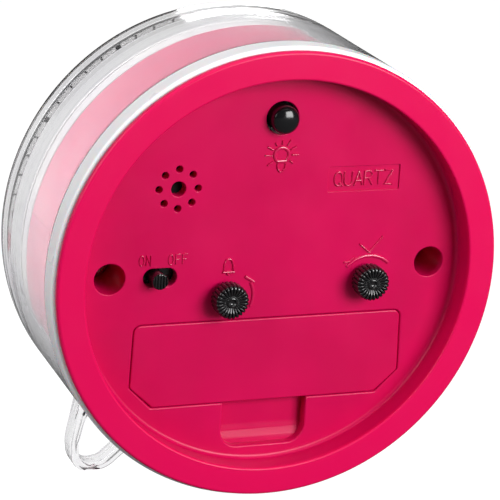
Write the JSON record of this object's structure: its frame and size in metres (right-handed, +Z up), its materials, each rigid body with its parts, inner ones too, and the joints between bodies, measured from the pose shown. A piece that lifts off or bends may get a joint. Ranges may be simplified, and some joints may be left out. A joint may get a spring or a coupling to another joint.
{
  "type": "alarm clock",
  "caption": "Round quartz alarm clock: clear drum case on two clear feet, recessed rear cover with knobs, light button, alarm switch and battery door, and a dial with hands.",
  "frame": {"origin": "bottom centre of the whole clock's box, on the surface that it stands on", "axes": "+Z up; the dial faces -Y and tilts up 10 degrees, the rear cover faces +Y; +X is the right-hand side seen from the dial"},
  "size_m": [0.0934, 0.0574, 0.0986],
  "materials": {
    "pink_plastic": "satin moulded",
    "clear_plastic": "clear polished acrylic",
    "lens_plastic": "clear polished acrylic",
    "white_plastic": "matte moulded",
    "dial_white": "printed card",
    "cell_jacket": "plain printed sleeve",
    "plated_steel": "nickel plated",
    "gloss_black": "polished",
    "black_plastic": "semi-gloss moulded",
    "board_green": "solder resist",
    "lamp_lens": "frosted",
    "brass": "bright",
    "natural_plastic": "natural acetal",
    "copper_wire": "enamelled wire",
    "magnet": "sintered",
    "red_paint": "gloss",
    "black_paint": "satin",
    "pink_paint": "satin"
  },
  "bodies": {
    "case": {"rear_cover": "pink_plastic", "clear_case": "clear_plastic", "front_lens": "lens_plastic", "case_seal": "white_plastic", "inner_drum": "pink_plastic", "dial_ring": "white_plastic", "dial": "dial_white", "battery_cell": "cell_jacket", "battery_spring_contact": "plated_steel", "battery_plus_contact": "plated_steel", "light_button_spring": "plated_steel", "light_switch_board": "board_green", "dial_lamp": "lamp_lens", "alarm_switch_base": "black_plastic", "buzzer_holder": "black_plastic", "buzzer_disc": "brass", "buzzer_element": "white_plastic", "case_screw_left": "plated_steel", "case_screw_right": "plated_steel", "movement_rear_case": "natural_plastic", "movement_front_case": "natural_plastic", "movement_nut": "brass", "circuit_board": "board_green", "timing_chip": "black_plastic", "quartz_crystal": "plated_steel", "coil": "copper_wire", "stator": "plated_steel"},
    "battery_door": {"battery_door": "pink_plastic"},
    "light_button": {"light_button": "gloss_black"},
    "alarm_switch": {"alarm_switch_slider": "black_plastic"},
    "time_knob": {"time_knob": "black_plastic", "time_set_shaft": "natural_plastic"},
    "minute_wheel": {"minute_wheel": "natural_plastic"},
    "minute_hand": {"cannon_pinion": "natural_plastic", "minute_hand": "black_paint"},
    "hour_hand": {"hour_wheel": "natural_plastic", "hour_hand": "black_paint"},
    "alarm_knob": {"alarm_knob": "black_plastic", "alarm_set_shaft": "natural_plastic"},
    "alarm_hand": {"alarm_wheel": "natural_plastic", "alarm_hand": "red_paint"},
    "second_hand": {"second_wheel": "natural_plastic", "second_hand": "pink_paint"},
    "intermediate_wheel": {"intermediate_wheel": "natural_plastic"},
    "rotor": {"rotor": "magnet"},
    "third_wheel": {"third_wheel": "natural_plastic"},
    "centre_wheel": {"centre_wheel": "natural_plastic"}
  },
  "joints": [
    {"name": "battery_door_open", "type": "hinge", "parent": "case", "child": "battery_door", "pos_m": [0, 0.01353, 0.03665], "axis": [1, 0, 0], "range_deg": [0, 90]},
    {"name": "light_button_press", "type": "slide", "parent": "case", "child": "light_button", "axis": [0, -0.9848, 0.1736], "range_m": [0, 0.0012], "stiffness_N_per_m": 300, "springref_m": -0.0005, "deforming": ["light_button_spring"]},
    {"name": "alarm_switch_slide", "type": "slide", "parent": "case", "child": "alarm_switch", "axis": [-1, 0, 0], "range_m": [0, 0.0024]},
    {"name": "time_knob_turn", "type": "hinge", "parent": "case", "child": "time_knob", "pos_m": [-0.0203, 0.01903, 0.04306], "axis": [0, 0.9848, -0.1736], "continuous": true},
    {"name": "minute_wheel_turn", "type": "hinge", "parent": "case", "child": "minute_wheel", "pos_m": [-0.00855, -0.00097, 0.04823], "axis": [0, 0.9848, -0.1736], "continuous": true},
    {"name": "minute_hand_turn", "type": "hinge", "parent": "case", "child": "minute_hand", "pos_m": [0, -0.00865, 0.05078], "axis": [0, 0.9848, -0.1736], "continuous": true},
    {"name": "hour_hand_turn", "type": "hinge", "parent": "case", "child": "hour_hand", "pos_m": [0, -0.00865, 0.05078], "axis": [0, 0.9848, -0.1736], "continuous": true},
    {"name": "alarm_knob_turn", "type": "hinge", "parent": "case", "child": "alarm_knob", "pos_m": [0.0096, 0.01867, 0.04099], "axis": [0, 0.9848, -0.1736], "continuous": true},
    {"name": "alarm_hand_turn", "type": "hinge", "parent": "case", "child": "alarm_hand", "pos_m": [0, -0.00865, 0.05078], "axis": [0, 0.9848, -0.1736], "continuous": true},
    {"name": "second_hand_turn", "type": "hinge", "parent": "case", "child": "second_hand", "pos_m": [0, -0.00865, 0.05078], "axis": [0, 0.9848, -0.1736], "continuous": true},
    {"name": "intermediate_wheel_turn", "type": "hinge", "parent": "case", "child": "intermediate_wheel", "pos_m": [0.00632, 0.00455, 0.05079], "axis": [0, 0.9848, -0.1736], "continuous": true},
    {"name": "rotor_turn", "type": "hinge", "parent": "case", "child": "rotor", "pos_m": [0.00902, 0.00635, 0.05522], "axis": [0, 0.9848, -0.1736], "continuous": true},
    {"name": "third_wheel_turn", "type": "hinge", "parent": "case", "child": "third_wheel", "pos_m": [0.00299, 0.00252, 0.05652], "axis": [0, 0.9848, -0.1736], "continuous": true},
    {"name": "centre_wheel_turn", "type": "hinge", "parent": "case", "child": "centre_wheel", "pos_m": [0, -0.00865, 0.05078], "axis": [0, 0.9848, -0.1736], "continuous": true}
  ],
  "couplings": [
    {"joint": "minute_wheel_turn", "follows": "time_knob_turn", "ratio": -0.83333},
    {"joint": "minute_hand_turn", "follows": "time_knob_turn", "ratio": 2.5},
    {"joint": "hour_hand_turn", "follows": "time_knob_turn", "ratio": 0.20833},
    {"joint": "alarm_hand_turn", "follows": "alarm_knob_turn", "ratio": -0.5},
    {"joint": "intermediate_wheel_turn", "follows": "second_hand_turn", "ratio": -6},
    {"joint": "rotor_turn", "follows": "second_hand_turn", "ratio": 30},
    {"joint": "third_wheel_turn", "follows": "second_hand_turn", "ratio": -0.13333},
    {"joint": "centre_wheel_turn", "follows": "second_hand_turn", "ratio": 0.016667}
  ]
}
